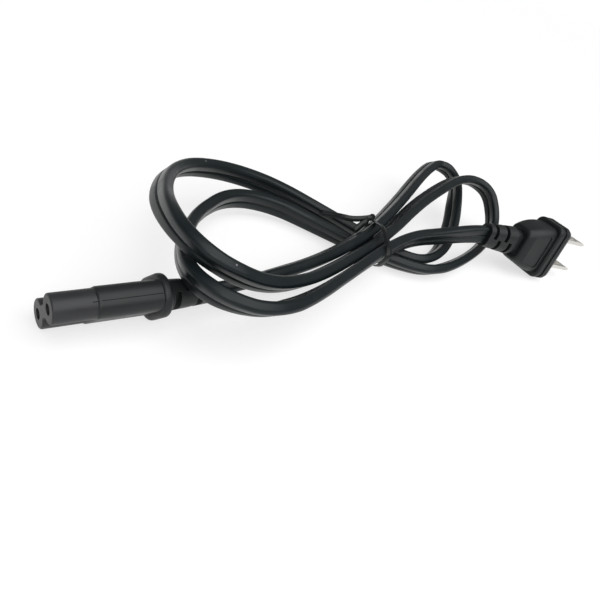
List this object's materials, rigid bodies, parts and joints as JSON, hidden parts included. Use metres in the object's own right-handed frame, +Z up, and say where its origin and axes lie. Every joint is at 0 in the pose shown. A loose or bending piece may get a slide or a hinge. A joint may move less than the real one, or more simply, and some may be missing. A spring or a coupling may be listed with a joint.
{
  "type": "power cord",
  "caption": "Short mains power cord: flat two-blade plug and small two-pole appliance connector on a twin flex, hanked in a figure of eight and held by a twist tie.",
  "frame": {"origin": "on the floor, under the middle of the box round the connector and the plug, without the flex and the tie", "axes": "+X from the connector to the plug, +Z up, +Y to the side on which the flex is laid in loops"},
  "size_m": [0.2332, 0.0836, 0.0258],
  "materials": {
    "overmould": "satin",
    "insert": "matte",
    "bridge": "satin",
    "blade": "nickel plated",
    "contact": "bright",
    "flex": "satin",
    "tie": "gloss"
  },
  "bodies": {
    "root": {"connector_insert": "insert", "connector_contact_1": "contact", "connector_contact_2": "contact", "connector_overmould": "overmould", "plug_blade_1": "blade", "plug_blade_2": "blade", "plug_bridge": "bridge", "plug_overmould": "overmould", "cord": "flex", "twist_tie": "tie"}
  },
  "joints": []
}
